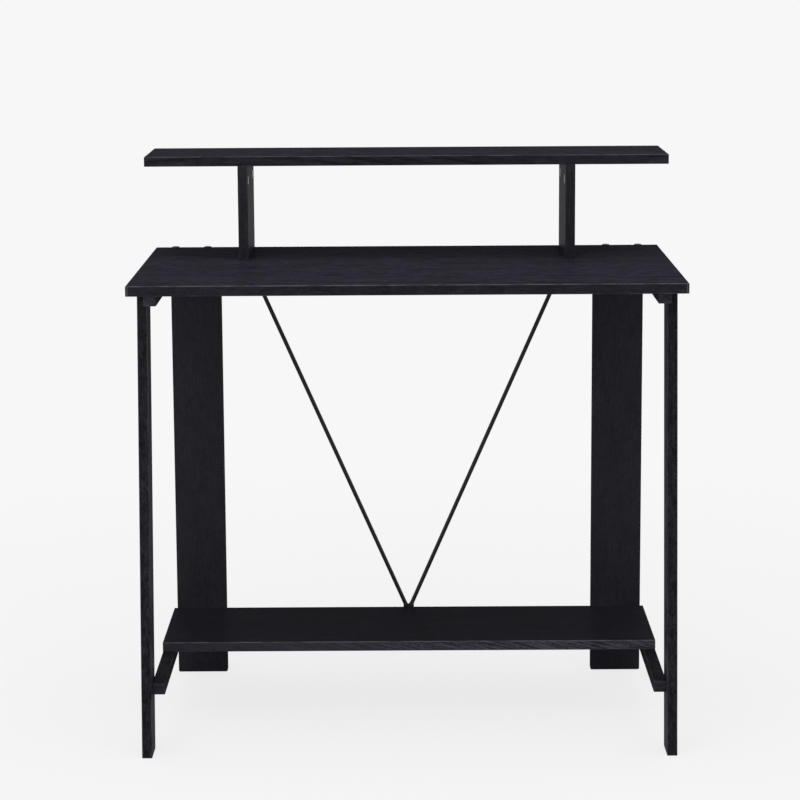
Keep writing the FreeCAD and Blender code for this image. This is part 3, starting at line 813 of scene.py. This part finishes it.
def add_brace_rods():
    """The low tabs lie one behind the other, so the right rod is farther back. layer counts half
    tab thicknesses behind the low shelf."""
    coat = powder_coat("black_powder_coat")
    bend = rod_radius + rod_clear_of_edge - tab_half_thick
    for side, name, layer, set_back in ((-1, "left", 1, 0.0), (1, "right", 3, rear_rod_set_back)):
        tab_y = low_shelf_high.y + layer * tab_half_thick
        skin = brace_rod_skin(side, tab_y, tab_y + bend + set_back)
        add_piece("bent_rod_" + name, [skin], coat, "brace_rod_" + name, 50)


def leg_middle_y(z):
    """The middle of a leaning front leg's width, at the height z."""
    return leg_low.y + leg_lean * z + leg_width / 2


def add_bolts(steel):
    """The bolts down into the back legs, through the front legs, and through the back legs."""
    desk_seats = [(side * x, desktop_high.y - desk_bolt_rear, desktop_high.z)
                  for side in sides for x in (outer_bolt_x, inner_bolt_x)]
    leg_seats = [(side * leg_high.x, leg_middle_y(z), z)
                 for side in sides for z in (upper_rail_mid_z, lower_rail_mid_z)]
    leg_ways = [(-side, 0, 0) for side in sides for z in range(2)]
    rail_seats = [(side * rail_mid_x, back_leg_high.y - rail_bolt_recess, lower_rail_mid_z)
                  for side in sides]
    for node, length, seats, ways in (("desktop_bolts", desk_bolt_long, desk_seats, [down] * 4),
                                      ("leg_bolts", leg_bolt_long, leg_seats, leg_ways),
                                      ("rail_bolts", rail_bolt_long, rail_seats, [forward] * 2)):
        skins = turned_skins(bolt_rows(length), "hexagon", seats, ways, bolt_thread_pitch)
        add_piece("domed_" + node, skins, steel, node)


def add_screws(zinc, steel):
    """The screws up through the rails and the desktop, and those that hold the rods' tabs."""
    plain = (screw_radius, screw_head_radius, screw_head_high)
    thick = (support_screw_radius, support_screw_head_radius, support_screw_head_high)
    first, last = upper_rail_low.y + upper_screw_inset, back_leg_low.y - upper_screw_inset
    upper = [(side * rail_mid_x, y, upper_rail_low.z + rail_screw_sunk)
             for side in sides for y in (first, (first + last) / 2, last)]
    first, last = low_shelf_low.y + low_screw_inset, low_shelf_high.y - low_screw_inset
    lower = [(side * rail_mid_x, y, lower_rail_low.z + rail_screw_sunk)
             for side in sides for y in (first, last)]
    first, last = support_low.y + support_screw_inset, support_high.y - support_screw_inset
    support = [(side * support_mid_x, y, desktop_low.z + support_screw_sunk)
               for side in sides for y in (first, last)]
    brace = [(side * top_hole_x, rod_top_y, desktop_low.z - 2 * tab_half_thick) for side in sides]
    brace.append((0, low_shelf_high.y + 4 * tab_half_thick, low_shelf_mid_z))
    for node, length, build, seats, ways, metal, slot in (
            ("upper_rail_screws", rail_screw_long, plain, upper, [up] * 6, zinc, "screw_steel"),
            ("low_shelf_screws", rail_screw_long, plain, lower, [up] * 4, zinc, "screw_steel"),
            ("support_screws", support_screw_long, thick, support, [up] * 4, zinc, "screw_steel"),
            ("brace_screws", brace_screw_long, plain, brace, [up, up, forward], steel, "bolt_black")):
        skins = turned_skins(screw_rows(length, *build), "cross", seats, ways, screw_thread_pitch)
        add_piece("cross_" + node, skins, metal, node)


def add_barrel_nuts(zinc):
    """The nuts in the back legs' rear faces, and those in the lower rails' inner faces."""
    leg_seats = [(side * x, back_leg_high.y - leg_barrel_sunk, desktop_low.z - leg_barrel_drop)
                 for side in sides for x in (outer_bolt_x, inner_bolt_x)]
    skins = turned_skins(barrel_rows(leg_barrel_long), "slot", leg_seats, [forward] * 4)
    add_piece("slotted_leg_nuts", skins, zinc, "back_leg_barrel_nuts")
    rail_face, rail_y = lower_rail_low.x + rail_barrel_sunk, back_leg_low.y - rail_barrel_setback
    rail_seats = [(side * rail_face, rail_y, lower_rail_mid_z) for side in sides]
    rail_ways = [(side, 0, 0) for side in sides]
    skins = turned_skins(barrel_rows(rail_barrel_long), "slot", rail_seats, rail_ways)
    add_piece("slotted_rail_nuts", skins, zinc, "rail_barrel_nuts")


def add_cam_locks():
    """The cam locks in the supports' inner faces, under the monitor shelf."""
    seats = [(side * support_low.x, y, support_high.z - cam_drop) for side in sides
             for y in (support_low.y + cam_inset, support_high.y - cam_inset)]
    ways = [(side, 0, 0) for side in sides for y in range(2)]
    skins = turned_skins(cam_rows(), "cross", seats, ways, count=96)
    cast_zinc = plated_steel("cast_zinc", cast_zinc_tint)
    add_piece("cross_cam_locks", skins, cast_zinc, "cam_locks")


# Floor, world, lamps and camera

def direct_rays(tree):
    """1 for the rays that show a surface to the camera, straight, mirrored or through glass."""
    path = tree.nodes.new("ShaderNodeLightPath")
    share = path.outputs["Is Camera Ray"]
    for name in ("Is Glossy Ray", "Is Transmission Ray"):
        either = tree.nodes.new("ShaderNodeMath")
        either.operation = "MAXIMUM"
        tree.links.new(share, either.inputs[0])
        tree.links.new(path.outputs[name], either.inputs[1])
        share = either.outputs[0]
    return share


def lay_floor():
    """A flat pale floor far wider than the view. The camera sees it lit and shaded near the desk,
    and farther off it passes smoothly into the plain white of the background."""
    reach = 24.0
    near, far = 0.7, 2.2
    near_whiteness = 0.84
    corners = [(-reach, -reach, 0), (reach, -reach, 0), (reach, reach, 0), (-reach, reach, 0)]
    mesh = bpy.data.meshes.new("floor")
    mesh.from_pydata(corners, [], [(0, 1, 2, 3)])
    floor = bpy.data.objects.new("floor", mesh)
    bpy.context.scene.collection.objects.link(floor)
    s = Finish("pale_floor")
    cloud = s.noise(s.coords(), (0.6, 0.6, 0.6), detail=2.0)
    s.set(Base_Color=s.blend(cloud, (0.90, 0.90, 0.90), (0.915, 0.915, 0.915)))
    s.set(Roughness=0.9, Specular_IOR_Level=0.0)
    away = s.node("ShaderNodeVectorMath", operation="LENGTH")
    s.feed(away.inputs[0], s.coords())
    whiteness = s.spread(away.outputs["Value"], near, far, near_whiteness, 1.0)
    white = s.node("ShaderNodeEmission")
    white.inputs[0].default_value = (*background_white, 1)
    mix = s.node("ShaderNodeMixShader")
    s.feed(mix.inputs[0], s.times(whiteness, direct_rays(s.tree)))
    s.feed(mix.inputs[1], s.surface.outputs[0])
    s.feed(mix.inputs[2], white.outputs[0])
    s.tree.links.new(mix.outputs[0], s.output.inputs[0])
    mesh.materials.append(s.material)


def light_world():
    """Even studio light, with a white background for the camera and for reflections."""
    world = bpy.data.worlds.new("studio")
    bpy.context.scene.world = world
    world.use_nodes = True
    tree = world.node_tree
    tree.nodes.clear()
    add, link = tree.nodes.new, tree.links.new
    glow, seen = add("ShaderNodeBackground"), add("ShaderNodeBackground")
    mix = add("ShaderNodeMixShader")
    glow.inputs[0].default_value = (*studio_glow, 1)
    seen.inputs[0].default_value = (*background_white, 1)
    for source, target in zip((direct_rays(tree), glow.outputs[0], seen.outputs[0]), mix.inputs):
        link(source, target)
    link(mix.outputs[0], add("ShaderNodeOutputWorld").inputs[0])


def soft_lamp(name, place, target, size, watts):
    """A rectangular lamp that looks from its place at its target, in metres."""
    lamp = bpy.data.lights.new(name, "AREA")
    lamp.shape = "RECTANGLE"
    lamp.size, lamp.size_y = size
    lamp.energy = watts
    holder = bpy.data.objects.new(name, lamp)
    holder.location = place
    holder.rotation_euler = (Vector(target) - Vector(place)).to_track_quat("-Z", "Y").to_euler()
    bpy.context.scene.collection.objects.link(holder)


def aim_camera():
    """The photograph's view: a long lens higher than the desktop, looking a little down. Its angles
    come from a fit to the photograph's corners, with a small shift."""
    place = (-0.0029, -4.0623, 1.2649)
    turn, tilt, roll = (math.radians(degrees) for degrees in (0.13, 9.395, -0.339))
    lens = bpy.data.cameras.new("camera")
    lens.sensor_fit = "HORIZONTAL"
    lens.sensor_width = 36.0
    lens.lens = 113.65
    lens.shift_y = -0.05
    lens.clip_end = 60.0
    camera = bpy.data.objects.new("camera", lens)
    bpy.context.scene.collection.objects.link(camera)
    level = Vector((-math.sin(turn), math.cos(turn), 0))
    ahead = level * math.cos(tilt) - Vector(up) * math.sin(tilt)
    across = Vector((math.cos(turn), math.sin(turn), 0))
    over = across.cross(ahead)
    right = across * math.cos(roll) + over * math.sin(roll)
    top = over * math.cos(roll) - across * math.sin(roll)
    axes = Matrix((right, top, -ahead)).transposed()
    camera.matrix_world = Matrix.Translation(place) @ axes.to_4x4()
    bpy.context.scene.camera = camera


zinc_plating = plated_steel("zinc_plating", zinc_tint)
bolt_steel = black_bolt_steel("black_bolt_steel")
dress_boards()
dress_hidden_fasteners(zinc_plating)
add_brace_rods()
add_bolts(bolt_steel)
add_screws(zinc_plating, bolt_steel)
add_barrel_nuts(zinc_plating)
add_cam_locks()
lay_floor()
light_world()
soft_lamp("lamp_over", place=(0.0, -0.6, 3.4), target=(0, 0, 0.5), size=(3.0, 2.4), watts=42)
soft_lamp("lamp_front", place=(-1.6, -3.2, 2.0), target=(0, 0, 0.6), size=(1.8, 1.8), watts=22)
aim_camera()
bpy.context.scene.view_settings.view_transform = "Standard"
